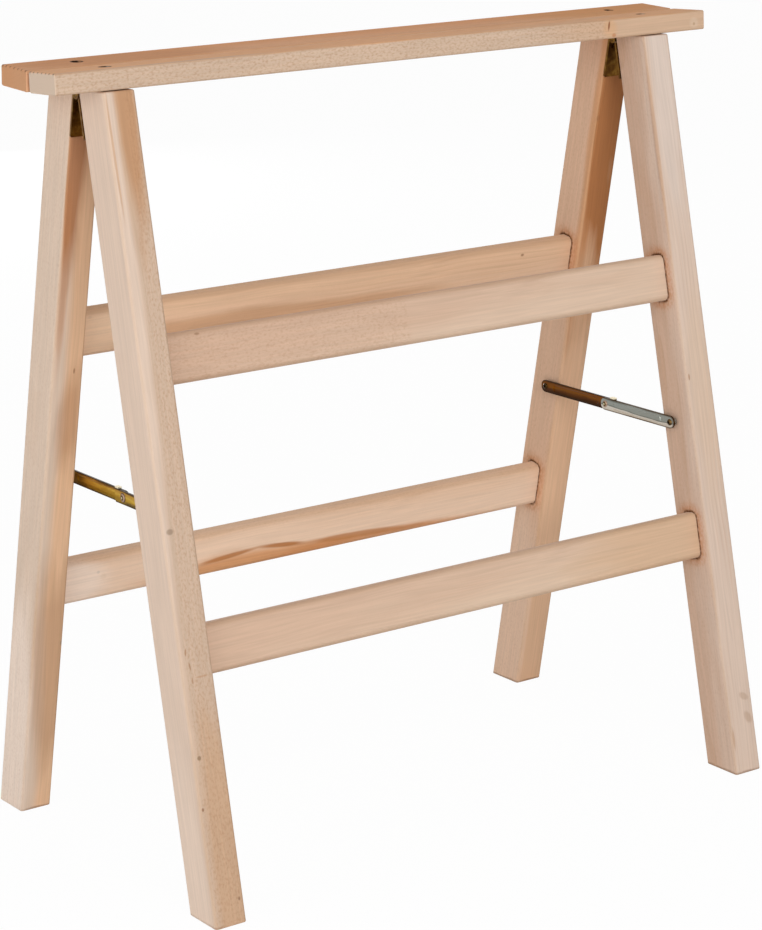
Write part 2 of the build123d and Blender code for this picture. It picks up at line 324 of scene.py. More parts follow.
class Wood:
    """The solid pattern of one timber: outputs in its node tree, for the features to read."""

    def __init__(self, tree, timber, pith):
        self.tree = tree
        self.timber = timber
        self.pith = pith
        surface = add(tree, "ShaderNodeTexCoord").outputs
        self.normal = surface["Normal"]
        self.own = space_for(tree, surface["Object"], (MM, MM, MM), timber.middle, timber.axes.to_euler())
        slow = noise(tree, self.own, WANDER_STEP_MM, detail=2.0, output="Color")
        self.sway = vector_maths(tree, "SUBTRACT", slow, MIDDLE_GREY)
        self.grain = self.swaying(2 * WANDER_MM)
        self.ragged = self.swaying(MARK_WANDER_MM)
        self.mottle = noise(tree, self.own, MOTTLE_MM, detail=4.0)
        self.fibres = noise(tree, self.grain, FIBRE_MM, detail=3.0)
        to_pith = (atan2(pith[0], -pith[1]), 0, 0)
        self.speckle = noise(tree, self.own, FLECK_MM, detail=2.0, turn=to_pith)
        self.ray = self.spindles(to_pith)

    def swaying(self, reach):
        """The timber's own coordinates, swaying sideways within that reach."""
        return vector_maths(self.tree, "MULTIPLY_ADD", self.sway, (0, reach, reach), self.own)

    def spindles(self, turn):
        """Rays as spindles, each with a strength of its own."""
        space = space_for(self.tree, self.grain, RAY_MM, turn=turn)
        cells = add(self.tree, "ShaderNodeTexVoronoi", {"Vector": space, "Scale": 1.0}).outputs
        dash = smooth_ramp(self.tree, cells["Distance"], *DASH_EDGE)
        strength = add(self.tree, "ShaderNodeSeparateColor", {0: cells["Color"]}).outputs[0]
        return maths(self.tree, "MULTIPLY", dash, strength)


print("grain sizes in mm: fibres", FIBRE_MM, "rays", RAY_MM, "flecks", FLECK_MM, "mottling", MOTTLE_MM)

# %% [markdown]
# The tones come from the photograph. Each timber has a pale and a warm tone, as sapwood and heartwood do,
# and a direction in which the one gives way to the other. Directions are along, across and in depth.

# %% What sets one timber apart


@dataclass
class Tones:
    pale: str
    warm: str
    pith: tuple  # the tree's middle in the timber's section: across, depth
    warm_way: tuple = (0, 0, 1)  # the warm tone lies along this direction
    warm_from: float = 0.0  # past this many millimetres
    warm_blur: float = 14.0  # with a border this wide to each side
    line: float = 0.0  # strength of a brown line at the border
    rings: float = 0.07  # strength of the growth rings
    rays: float = 0.2  # strength of the dashes
    flecks: float = 0.1  # strength of the flecks between them
    fleck_way: tuple = (0, 0, 1)  # dashes and flecks lie along this direction
    fleck_from: float = -500.0  # past this many millimetres
    arris: float = 3.0  # radius of the long edges
    end_tone: str = "#C9A181"


TONES = {
    "front_top_rail": Tones(
        "#CFB59E", "#D0AF93", pith=(90, 0), warm_way=(1, 0, 0), warm_from=200, warm_blur=60, flecks=0.4,
        fleck_way=(-1, 0, 0), fleck_from=-250, arris=2, end_tone="#CAB6A4"),
    "back_top_rail": Tones(
        "#D9A580", "#D99C70", pith=(20, 80), warm_way=(0.02, 1, 0), rings=0.25, arris=2, end_tone="#BA8B67"),
    "front_left_leg": Tones(
        "#D7C0AE", "#CAB09A", pith=(0, 90), warm_way=(-0.023, 1, -0.5), warm_blur=4, line=0.05, flecks=0.36,
        fleck_way=(-0.03, 1, 0), fleck_from=-11),
    "front_right_leg": Tones(
        "#D8C1B0", "#CDAE98", pith=(80, 20), warm_way=(0, -1, 0.2), warm_from=14, warm_blur=4, rings=0.3),
    "back_left_leg": Tones(
        "#D7C1AE", "#E2BA97", pith=(80, 10), warm_way=(0, 0.6, -1), warm_from=17, warm_blur=5),
    "back_right_leg": Tones(
        "#DEB99D", "#DDB594", pith=(90, 0), warm_way=(0, 0.5, -1), warm_from=10, warm_blur=6, rings=0.1),
    "front_upper_cross_rail": Tones(
        "#D8BDA6", "#CCAB93", pith=(80, 20), warm_way=(-0.06, 0, 0.4), rays=0.15, flecks=0.25,
        fleck_way=(-1, 0, 0), fleck_from=20, arris=6),
    "front_lower_cross_rail": Tones("#D9BEA6", "#D0B098", pith=(20, 90), warm_way=(-0.06, 0, 0.4), arris=6),
    "back_upper_cross_rail": Tones("#E2BEA0", "#DEB999", pith=(40, 80), rings=0.2, arris=6),
    "back_lower_cross_rail": Tones("#E6C8AF", "#E0BC9E", pith=(30, -80), warm_from=16, arris=6),
}
print("tones for", len(TONES), "timbers")

# %% [markdown]
# A tree adds a ring of pale early wood and darker late wood each year. Blender's Wave texture draws such
# rings about an axis: the pith. The mottling lets them come and go, because in beech they are faint.

# %% Heartwood and growth rings
RING_MM = 4.2
RING_BROWN = "#BC9270"
WAVE_PERIOD = tau / 20  # of Blender's Wave texture at a scale of 1
RING_SPACE = (16, 1, 1)
RING_KIND = dict(wave_type="RINGS", rings_direction="X", wave_profile="SAW")
RING_WOBBLE = {"Distortion": 4.0, "Detail": 2.0, "Detail Scale": 0.4}
RINGS_SHOW = (0.4, 0.65)
LATE_WOOD = (0.35, 1.0)
BORDER_MIDDLE, BORDER_HALF = 0.5, 0.3


def growth_rings(wood, strength):
    """Share of late wood at each place."""
    about_pith = space_for(wood.tree, wood.grain, RING_SPACE, (0, *wood.pith))
    sockets = {"Vector": about_pith, "Scale": WAVE_PERIOD / RING_MM, **RING_WOBBLE}
    years = add(wood.tree, "ShaderNodeTexWave", sockets, **RING_KIND)
    shown = ramp(wood.tree, wood.mottle, *RINGS_SHOW, high=strength)
    return smooth_ramp(wood.tree, years.outputs["Fac"], *LATE_WOOD, shown)


def heartwood(wood, tones):
    """Pale wood that turns warm, with a line where they meet, and its rings."""
    tree = wood.tree
    towards = vector_maths(tree, "DOT_PRODUCT", wood.grain, tones.warm_way)
    mottled = maths(tree, "MULTIPLY_ADD", wood.mottle, 2 * tones.warm_blur, towards)
    warmth = smooth_ramp(tree, mottled, tones.warm_from, tones.warm_from + 2 * tones.warm_blur)
    colour = blend(tree, warmth, linear(tones.pale), linear(tones.warm))
    border = maths(tree, "COMPARE", warmth, BORDER_MIDDLE, BORDER_HALF)
    line = maths(tree, "MULTIPLY", border, tones.line)
    brown = maths(tree, "MAXIMUM", line, growth_rings(wood, tones.rings))
    return blend(tree, brown, colour, linear(RING_BROWN))


print("a ring every", RING_MM, "mm")

# %% [markdown]
# Knots, stains, pin holes and shaded faces are marks: bodies in the solid pattern, so that a mark near an
# edge shows on both faces. The mottling makes their edges ragged. A strength over 1 makes a hard and even
# edge instead.

# %% Marks in the wood
MARK_RAGGED = 0.6
MARK_EDGE = (1.0, 0.45)


@dataclass
class Mark:
    place: tuple
    size: tuple
    tone: str
    strength: float
    turn: tuple = STRAIGHT  # degrees


def marked(wood, colour, marks):
    """The colour with every mark on it."""
    tree = wood.tree
    ragged_edge = ramp(tree, wood.mottle, low=-MARK_RAGGED, high=MARK_RAGGED)
    for mark in marks:
        turn = [radians(angle) for angle in mark.turn]
        body = space_for(tree, wood.ragged, mark.size, mark.place, turn)
        reach = vector_maths(tree, "LENGTH", body)
        ragged_reach = maths(tree, "MULTIPLY_ADD", ragged_edge, 1 / max(mark.strength, 1), reach)
        stain = smooth_ramp(tree, ragged_reach, *MARK_EDGE, mark.strength)
        colour = blend(tree, stain, colour, linear(mark.tone))
    return colour


print("a mark fades between", MARK_EDGE[1], "and", MARK_EDGE[0], "of its size")

# %% [markdown]
# Where a cross rail enters a leg, a dark line runs round its rounded end, with a warm glow about it. The line
# is partly glue and partly painted shade in the crease; the glow is partly glue stain and partly painted warm
# light bounced from the rail. Both follow the distance from the rail's core. The leg's two rails are folded
# onto one another first, and then that rail's two halves, so that one distance serves all four corners of
# both.

# %% Cross rails in a leg
CROSS_ARRIS_MM = 6.0
# The glow is glue stain and painted bounced light; the dark line is glue and painted shade.
JOINT_GLUE_AND_SHADE = (("#BE7C4A", 1.0, 14.0, 0.7), ("#4A2A14", 0.8, 3.4, 1.0))  # tone, nearest, farthest, strength
JOINT_SKIN_MM = (2.0, 0.5)
PATCHY_EDGE, PATCHY_LOW = (0.35, 0.6), 0.4


@dataclass
class RailJoints:
    inner_face: int
    heights: list
    half_height: float
    half_depth: float


def leg_joints(side, end):
    """Inner face, heights and half section of the cross rails in a leg, in the leg's own axes."""
    leg = timbers[f"{side}_{end}_leg"]
    rails = [timbers[f"{side}_{level}_cross_rail"] for level in LEVELS]
    heights = [((rail.middle - leg.middle) @ leg.axes)[ALONG] / MM for rail in rails]
    return RailJoints(-ENDS[end], heights, rails[0].half[DEPTH], rails[0].half[ACROSS])


def glued_and_shaded(wood, colour, joints):
    """The colour with a dark line of glue and painted shade, and a glow of glue stain and painted bounced
    light, round both cross rails.
    """
    tree = wood.tree
    place = wood.ragged
    for step in (sum(joints.heights) / 2, abs(joints.heights[0] - joints.heights[1]) / 2):
        shifted = vector_maths(tree, "SUBTRACT", place, (step, 0, 0))
        place = vector_maths(tree, "ABSOLUTE", shifted)
    core = (CROSS_ARRIS_MM - joints.half_height, 0, CROSS_ARRIS_MM - joints.half_depth)
    past_core = vector_maths(tree, "MULTIPLY_ADD", place, (1, 0, 1), core)
    outside = vector_maths(tree, "MAXIMUM", past_core, (0, 0, 0))
    from_core = vector_maths(tree, "LENGTH", outside)
    inwards = vector_maths(tree, "DOT_PRODUCT", wood.own, (0, joints.inner_face, 0))
    on_face = ramp(tree, inwards, *[wood.timber.half[ACROSS] - skin for skin in JOINT_SKIN_MM])
    patchy = ramp(tree, wood.speckle, *PATCHY_EDGE, low=PATCHY_LOW)
    here = maths(tree, "MULTIPLY", on_face, patchy)
    for tone, nearest, farthest, strength in JOINT_GLUE_AND_SHADE:
        ring = smooth_ramp(tree, from_core, CROSS_ARRIS_MM + farthest, CROSS_ARRIS_MM + nearest, strength)
        shown = maths(tree, "MULTIPLY", ring, here)
        colour = blend(tree, shown, colour, linear(tone))
    return colour


heights = leg_joints("front", "left").heights
print("cross rails at", [round(height, 1) for height in heights], "mm from a leg's middle")

# %% [markdown]
# On top of all that come the fibres, which make each line of wood a little lighter or darker, and the rays.
# Rays and flecks are strongest where the surface lies across them, so the normal decides how much they show.

# %% Fibres, rays and flecks
RAY_BROWN = "#A87A58"
FIBRE_EDGE, FIBRE_LIGHT = (0.3, 0.7), (0.94, 1.06)
FLECK_EDGE, FLECK_FADE_MM = (0.47, 0.7), 10.0


def ray_share(wood, tones):
    """How much of the rays' brown shows at each place."""
    tree = wood.tree
    pith_way = wood.timber.axes @ Vector((0, *wood.pith)).normalized()
    facing = vector_maths(tree, "DOT_PRODUCT", wood.normal, pith_way)
    cut_across = maths(tree, "MULTIPLY", facing, facing)
    side = vector_maths(tree, "DOT_PRODUCT", wood.own, tones.fleck_way)
    flecked = smooth_ramp(tree, side, tones.fleck_from, tones.fleck_from + FLECK_FADE_MM)
    shown = maths(tree, "MULTIPLY", cut_across, flecked)
    fleck = ramp(tree, wood.speckle, *FLECK_EDGE, high=tones.flecks)
    dashes = maths(tree, "MULTIPLY_ADD", wood.ray, tones.rays, fleck)
    return maths(tree, "MULTIPLY", dashes, shown)


def grained(wood, colour, tones):
    """The colour with fibres, rays and flecks over it."""
    fibre_light = ramp(wood.tree, wood.fibres, *FIBRE_EDGE, *FIBRE_LIGHT)
    colour = blend(wood.tree, 1.0, colour, fibre_light, blend_type="MULTIPLY")
    return blend(wood.tree, ray_share(wood, tones), colour, linear(RAY_BROWN))


print("fibres change the light by", FIBRE_LIGHT)

# %% [markdown]
# End grain drinks light, so the sawn ends are darker. The long edges are a little darker too: partly dirt from
# hands, partly painted shade that tones down the light on the rounded arrises. How deep a point lies under
# two faces at once tells how near it is to an edge.

# %% Ends and edges
# The long edges take a darker tone: dirt from hands, and painted shade over the light on the rounded arrises.
HANDLED_AND_SHADED_EDGE = "#A98563"
END_EDGE, END_SHARE = (0.6, 0.9), 0.75
WORN_AND_SHADED_EDGE, WORN_AND_SHADED_SHARE, WORN_AND_SHADED_RAGGED = (0.75, 0.05), 0.3, 0.5  # edge and raggedness in arris radii


def edged(wood, colour, tones):
    """The colour with dark end grain, and long edges darkened by handling and by painted shade."""
    tree = wood.tree
    end_on = vector_maths(tree, "DOT_PRODUCT", wood.normal, wood.timber.axes.col[ALONG])
    end_grain = ramp(tree, maths(tree, "ABSOLUTE", end_on), *END_EDGE, high=END_SHARE)
    colour = blend(tree, end_grain, colour, linear(tones.end_tone))
    from_middle = vector_maths(tree, "ABSOLUTE", wood.own)
    below = vector_maths(tree, "SUBTRACT", wood.timber.half, from_middle)
    depths = add(tree, "ShaderNodeSeparateXYZ", {0: below}).outputs
    to_arris = maths(tree, "MAXIMUM", depths["Y"], depths["Z"])
    ragged = maths(tree, "MULTIPLY_ADD", wood.mottle, -WORN_AND_SHADED_RAGGED * tones.arris, to_arris)
    worn_and_shaded = ramp(tree, ragged, *[edge * tones.arris for edge in WORN_AND_SHADED_EDGE], high=WORN_AND_SHADED_SHARE)
    return blend(tree, worn_and_shaded, colour, linear(HANDLED_AND_SHADED_EDGE))


print("worn edges", WORN_AND_SHADED_EDGE[0], "of an arris wide")

# %% [markdown]
# All features together are one material for each timber. The fibres stand up a little and the rays lie low,
# which the bump shows, and the wood is matt, as planed and unfinished beech is.

# %% Planed beech
ROUGHNESS = (0.55, 0.75)
BUMP_STRENGTH, BUMP_MM = 0.2, 0.06
WOOD_IOR, WOOD_SPECULAR = 1.45, 0.08


def planed_beech(timber, tones, marks, joints):
    material = bpy.data.materials.new("planed_beech_" + timber.name)
    tree = empty_tree(material)
    wood = Wood(tree, timber, tones.pith)
    colour = marked(wood, heartwood(wood, tones), marks)
    if joints:
        colour = glued_and_shaded(wood, colour, joints)
    colour = edged(wood, grained(wood, colour, tones), tones)
    relief = maths(tree, "SUBTRACT", wood.fibres, wood.ray)
    bump = add(tree, "ShaderNodeBump", {
        "Strength": BUMP_STRENGTH, "Distance": BUMP_MM * MM, "Height": relief})
    low, high = ROUGHNESS
    surface = add(tree, "ShaderNodeBsdfPrincipled", {
        "Base Color": colour, "Roughness": ramp(tree, wood.fibres, low=low, high=high), "IOR": WOOD_IOR,
        "Specular IOR Level": WOOD_SPECULAR, "Normal": bump.outputs[0]})
    add(tree, "ShaderNodeOutputMaterial", {"Surface": surface.outputs[0]})
    return material


print("beech with an IOR of", WOOD_IOR)

# %% [markdown]
# The marks are listed by timber, in its own axes, as they are seen on the photograph. Most lie on a face,
# and where the faces are is measured. Later marks lie over earlier ones. Some are painted light and shade.
# What several timbers have in common comes first: painted shade in the screw holes and the saw's tear-out
# on the top rails, and a painted contact shadow round the feet.

# %% Marks that several timbers have


def face(node_name, axis):
    """Distance of a timber's faces from its middle, in whole tenths of a millimetre."""
    return round(timbers[node_name].half[axis], 1)


LEG_LEFT, LEG_FRONT = -face("front_left_leg", ACROSS), -face("front_left_leg", DEPTH)
LEG_SKIN = LEG_FRONT - 3.0  # middle of a flat mark that stays on the front face
CROSS_FRONT = -face("front_upper_cross_rail", ACROSS)
TOP_END, TOP_UP = face("front_top_rail", ALONG), face("front_top_rail", DEPTH)
TOP_FRONT = -face("front_top_rail", ACROSS)
SCREW_AT = round(abs(timbers["front_left_leg"].middle[0]) / MM, 1)
SCREW_HEAD = TOP_UP - 1.1
# The first tone is painted shade in the sunk screw holes; the second is the saw's tear-out.
HOLE_SHADE, TEAR = "#2E1C10", "#5A3A22"
TEAR_PLACES = (-20, -13, -7, 0, 7, 14, 20)
# The tone at the soles is a painted contact shadow where the legs meet the floor.
SOLE, SOLE_SHADE = -372, "#8A6A52"


def rail_marks():
    """Painted shade in the sunk screw holes of a top rail, and the saw's tear-out along its left end."""
    holes = [
        Mark((-SCREW_AT, 0, SCREW_HEAD), (7.2, 7.2, 10), HOLE_SHADE, 3.0),
        Mark((SCREW_AT, 0, SCREW_HEAD), (6, 6, 10), HOLE_SHADE, 2.6),
    ]
    return holes + [Mark((-TOP_END, across, TOP_UP), (3.4, 1.7, 2.2), TEAR, 0.9) for across in TEAR_PLACES]


def foot(side):
    """A painted contact shadow along the rim of a leg's sole, which is cut level."""
    level = -SIDES[side] * degrees(lean)
    return [Mark((SOLE, 0, 0), (3.4, 60, 70), SOLE_SHADE, 0.6, (0, level, 0))]


print("faces in mm: legs", LEG_LEFT, LEG_FRONT, "cross rails", CROSS_FRONT, "top", TOP_FRONT, TOP_UP, TOP_END)

# %% Marks of the legs
MARKS = {
    "front_left_leg": foot("front") + [
        Mark((-330, 5, LEG_FRONT), (190, 24, 9), "#C6A385", 0.9),
        Mark((-20.7, -8.6, LEG_FRONT), (3.4, 4.4, 4), "#8A7460", 0.6),
        Mark((-222.7, -10, LEG_FRONT), (2.8, 2.6, 4), "#84684C", 0.75),
        Mark((-268.4, -13.2, LEG_FRONT), (2.4, 1.6, 3), "#84583C", 0.8),
        Mark((-354, 11.5, LEG_FRONT), (2.6, 1.8, 3), "#7A5A44", 0.7),
        Mark((-128, -9.5, LEG_FRONT), (4, 1.1, 3), "#A07452", 0.7, (0, 0, 8)),
        Mark((-141, -7, LEG_FRONT), (4.5, 1.1, 3), "#A07452", 0.7, (0, 0, -6)),
        Mark((-154, -6.2, LEG_FRONT), (4, 1.0, 3), "#A87A58", 0.6),
        Mark((-152, 4, LEG_FRONT), (1.4, 9, 3), "#B88A66", 0.5),
        Mark((293.7, 8.7, LEG_FRONT), (3.4, 1.1, 3), "#A4724C", 0.7),
        Mark((340, 6, LEG_FRONT), (150, 15, 8), "#B88A64", 0.85),
        Mark((320, -13, LEG_FRONT), (70, 1.6, 4), "#C49A78", 0.6, (0, 0, -1)),
        # Painted light: the lower part of the left face is lighter.
        Mark((-330, LEG_LEFT, 4), (130, 6, 30), "#E0CBBA", 0.6),
    ],
    "back_left_leg": foot("back") + [
        Mark((99.8, 6.4, LEG_FRONT), (4, 1.4, 3), "#8A5A3A", 0.7),
        # Painted shade on the front face below the hinge, in the narrow fold between the frames.
        Mark((400, -18, LEG_SKIN), (322, 46, 5), "#B3805D", 3.0),
        Mark((190, -12, -24), (130, 8, 6), "#B57E56", 0.6),
        Mark((50, 6, -24), (80, 19, 8), "#B5835C", 0.55),
        Mark((-200, 8, LEG_FRONT), (150, 40, 12), "#B08868", 0.55),
        Mark((-187, 14.5, LEG_FRONT), (3.4, 1.6, 3), "#8A8470", 0.6),
        # Painted light: the lower part of the left face is lighter.
        Mark((-310, LEG_LEFT, 2), (200, 8, 40), "#EAD7C8", 0.85),
    ],
    "front_right_leg": foot("front") + [
        Mark((310, 4, LEG_FRONT), (150, 20, 8), "#DAC9BD", 0.7),
        Mark((0, 4, LEG_FRONT), (170, 20, 8), "#D5BAA2", 0.6),
        Mark((27.1, -13, LEG_FRONT), (3.6, 1.2, 3), "#A4724C", 0.6),
        Mark((270, -15.5, -20), (150, 1.8, 4), "#B48A6C", 0.5),
        Mark((-300, 6, LEG_FRONT), (4, 8, 4), "#B4927A", 0.45, (0, 0, 30)),
        Mark((-322, 8.5, LEG_FRONT), (9, 5, 4), "#B08E74", 0.45, (0, 0, -30)),
        Mark((-340, -14, LEG_FRONT), (16, 2, 4), "#B48A68", 0.5),
    ],
    "back_right_leg": [
        Mark((330, LEG_LEFT, LEG_FRONT), (290, 22, 12), "#D39A6C", 0.7),
        # Partly redder wood, partly painted shade: this front face lies in the fold, behind the front right
        # leg.
        Mark((450, 5, LEG_SKIN), (610, 100, 5), "#AE754A", 3.0),
        Mark((286, -15.5, LEG_FRONT), (4, 3, 1.6), "#9C6A46", 0.6),
        # Painted light: the lower part of the left face is lighter.
        Mark((-300, LEG_LEFT, 0), (170, 8, 44), "#EDCDB4", 0.7),
    ] + foot("back"),
}
print("marks on the legs", {name: len(marks) for name, marks in MARKS.items()})

# %% Marks of the rails
MARKS |= {
    "front_top_rail": [
        # The warmer top face is partly the wood's own tone, partly painted shade from the weaker light above.
        Mark((0, 0, TOP_UP + 1), (1500, 120, 3), "#E0A87C", 0.9),
        Mark((-280, TOP_FRONT, 0), (170, 12, 30), "#C7AE98", 0.7),
    ] + rail_marks() + [
        Mark((251, TOP_FRONT, 2), (13, 6, 12), "#DDA673", 0.35, (0, 12, 0)),
        Mark((249.8, TOP_FRONT, 3.5), (1.9, 4, 7), "#8A4E2C", 0.85, (0, 10, 0)),
        Mark((256, TOP_FRONT, -6.5), (3, 3, 2.4), "#C07A4A", 0.6),
        Mark((361, TOP_FRONT, -2.5), (8, 5, 7.5), "#D9BFA6", 0.6),
        Mark((361, TOP_FRONT, -3.4), (2.0, 3, 2.2), "#A57C58", 0.5),
    ],
    "back_top_rail": [
        Mark((-290, 0, TOP_UP), (150, 40, 6), "#C48A60", 0.7),
        Mark((290, 0, TOP_UP), (150, 40, 6), "#CE9058", 0.6),
    ] + rail_marks(),
    "front_upper_cross_rail": [Mark((-257.4, CROSS_FRONT, 18.7), (4, 3, 1.6), "#8A6446", 0.6)],
    "front_lower_cross_rail": [Mark((240, CROSS_FRONT, 0), (150, 14, 40), "#D1AC8A", 0.65)],
    "back_upper_cross_rail": [
        Mark((-284, CROSS_FRONT, 17), (3, 2, 2), "#7A5236", 0.7),
        Mark((230.3, CROSS_FRONT, 12.6), (3.4, 3, 2.4), "#8A5E40", 0.7),
        # Painted shade and painted warm bounced light on the lower part of the face, under the front rail's
        # top edge.
        Mark((-80, CROSS_FRONT, -10), (280, 14, 14), "#BE8A60", 0.55),
        # Painted light: the left end is lighter where the front left leg's shadow falls on it.
        Mark((-275, CROSS_FRONT, 4), (60, 14, 30), "#F0CFB0", 0.8),
    ],
    "back_lower_cross_rail": [
        Mark((-70, CROSS_FRONT, -19), (150, 18, 20), "#CB9060", 0.9),
        Mark((70, CROSS_FRONT, -23), (210, 18, 14), "#C98B5C", 0.85),
        Mark((-101, CROSS_FRONT, -6.5), (46, 10, 3.4), "#AE7242", 0.85, (0, -4.7, 0)),
        Mark((-36, CROSS_FRONT, -6), (40, 10, 4), "#AE7242", 0.9, (0, 5.8, 0)),
        Mark((60, CROSS_FRONT, -12.4), (92, 10, 4.6), "#B67A4A", 0.8, (0, 2.6, 0)),
        Mark((-252.5, CROSS_FRONT, 6.8), (2, 2, 2), "#8A7A68", 0.6),
        Mark((-246.5, CROSS_FRONT, 1.2), (4, 2, 4), "#D9B795", 0.6),
        Mark((-285, CROSS_FRONT, 0), (50, 14, 40), "#EEDACA", 0.75),
    ],
}
print("marks in all", sum(len(marks) for marks in MARKS.values()))

# %% [markdown]
# A packed timber keeps its mesh and only gets a new material in its slot.

# %% Beech on the ten timbers
for node_name, tones in TONES.items():
    side, end, kind = node_name.split("_")[:3]
    joints = leg_joints(side, end) if kind == "leg" else None
    beech = planed_beech(timbers[node_name], tones, MARKS[node_name], joints)
    frame["nodes"][node_name].material_slots[0].material = beech
print("beech timbers", len(TONES))

# %% [markdown]
# ## Zinc-plated steel
# The hinges and the stays are pressed from steel sheet and zinc-plated. A yellow chromate bath leaves a thin
# film whose colour drifts from gold to olive and rose; the plain bath leaves a bluish grey. The tone is a
# ramp over one measure, blurred by the drift of the film. On a hinge that measure is only the drift. Along
# a link it is the height: the bands above and below the bead are painted reflections. On a rivet it is the
# distance from the axis: the rings are a painted highlight in the middle of the dome and painted shade round
# it.

# %% Film of the plating
BLOOM_MM, STREAK_MM = 7.0, 60.0
BLOOM_EDGE = (0.3, 0.7)
LINK_HALF_MM = 6.4
RIVET_MM = 4.6
NEW_STOP = 0.5


def film_level(tree, measure, bloom, parts):
    """Place in the ramp of tones, from the film's bloom and the coordinates from the stays' height."""
    # Along a link the height gives bands of painted reflection.
    if measure == "link":
        return ramp(tree, parts["Z"], -LINK_HALF_MM * MM, LINK_HALF_MM * MM, clamp=False)
    # On a rivet the distance from the axis gives a painted highlight and painted shade.
    if measure == "rivet":
        section = add(tree, "ShaderNodeCombineXYZ", {"Y": parts["Y"], "Z": parts["Z"]})
        radius = vector_maths(tree, "LENGTH", section.outputs[0])
        return ramp(tree, radius, end=RIVET_MM * MM)
    return ramp(tree, bloom, *BLOOM_EDGE)


def film_colour(tree, place, tones):
    """Colour at a place in a ramp of tones: pairs of position and colour."""
    film = add(tree, "ShaderNodeValToRGB", {0: place})
    stops = film.color_ramp.elements
    while len(stops) < len(tones):
        stops.new(NEW_STOP)
    for stop, (position, tone) in zip(stops, tones):
        stop.position = position
        stop.color = linear(tone)
    return film.outputs["Color"]


print("film blooms in", BLOOM_MM, "mm, streaks in", STREAK_MM, "mm")

# %% [markdown]
# The sheared edges of a link and a rim along its outline stay dark. The outline is a strip with round ends
# about the links' pivots, so the distance from its spine gives the rim. The bent lug, above the link, gets a
# painted highlight.

# %% Edges of a link
# A painted highlight on the bent lug.
LUG_HIGHLIGHT, LUG_HIGHLIGHT_EDGE = "#F2E8CC", (1.02, 1.08)
SHEARED_EDGE = (0.5, 0.2)
RIM_MM, RIM_SHARE = (1.6, 0.4), 0.85
stay_joint = next(joint for joint in frame["joints"] if joint["name"] == "left_back_link_pivot")
STAY_HEIGHT = stay_joint["pos_m"][2]
LINK_MIDDLE = abs(stay_joint["pos_m"][1]) / 2


def link_edges(tree, colour, edge, normal, from_stay, level):
    """The colour with dark edges, a dark rim and a painted highlight on the lug."""
    flat_on = add(tree, "ShaderNodeSeparateXYZ", {0: normal}).outputs["X"]
    sheared = ramp(tree, maths(tree, "ABSOLUTE", flat_on), *SHEARED_EDGE)
    colour = blend(tree, sheared, colour, linear(edge))
    folded = from_stay
    for operation in ("ABSOLUTE", "SUBTRACT", "ABSOLUTE", "SUBTRACT"):
        folded = vector_maths(tree, operation, folded, (0, LINK_MIDDLE, 0))
    past_pivot = vector_maths(tree, "MAXIMUM", folded, (0, 0, 0))
    in_plane = vector_maths(tree, "MULTIPLY", past_pivot, (0, 1, 1))
    from_spine = vector_maths(tree, "LENGTH", in_plane)
    rim = ramp(tree, from_spine, *[(LINK_HALF_MM - depth) * MM for depth in RIM_MM], high=RIM_SHARE)
    colour = blend(tree, rim, colour, linear(edge))
    return blend(tree, ramp(tree, level, *LUG_HIGHLIGHT_EDGE), colour, linear(LUG_HIGHLIGHT))


print("stays at", round(STAY_HEIGHT / MM, 1), "mm, half a link", round(LINK_MIDDLE / MM, 1), "mm")

# %% [markdown]
# Film and edges make the base colour of a metal; on the links and rivets that colour also holds painted
# reflections, highlights and shade. Its roughness follows the same bloom, since a thick film is duller. Each
# finish is the same plate with its own tones.

# %% Plated steel
BLOOM_DETAIL, BLOOM_ROUGHNESS = 5.0, 0.6


def plated_steel(name, tones, measure="drift", edge="#38260F", drift=0.12, shine=(0.28, 0.48)):
    """Zinc plate whose tones follow a measure: "drift", height in a "link" or distance in a "rivet"."""
    material = bpy.data.materials.new(name)
    tree = empty_tree(material)
    surface = add(tree, "ShaderNodeTexCoord").outputs
    along = STREAK_MM if measure == "link" else BLOOM_MM
    bloom_size = (BLOOM_MM * MM, along * MM, BLOOM_MM * MM)
    bloom = noise(tree, surface["Object"], bloom_size, BLOOM_DETAIL, BLOOM_ROUGHNESS)
    from_stay = vector_maths(tree, "SUBTRACT", surface["Object"], (0, 0, STAY_HEIGHT))
    parts = add(tree, "ShaderNodeSeparateXYZ", {0: from_stay}).outputs
    level = film_level(tree, measure, bloom, parts)
    drifting = ramp(tree, bloom, *BLOOM_EDGE, -drift, drift)
    colour = film_colour(tree, maths(tree, "ADD", level, drifting), tones)
    if measure == "link":
        colour = link_edges(tree, colour, edge, surface["Normal"], from_stay, level)
    rough = ramp(tree, bloom, low=shine[0], high=shine[1])
    metal = add(tree, "ShaderNodeBsdfPrincipled", {"Base Color": colour, "Metallic": 1.0, "Roughness": rough})
    add(tree, "ShaderNodeOutputMaterial", {"Surface": metal.outputs[0]})
    return material


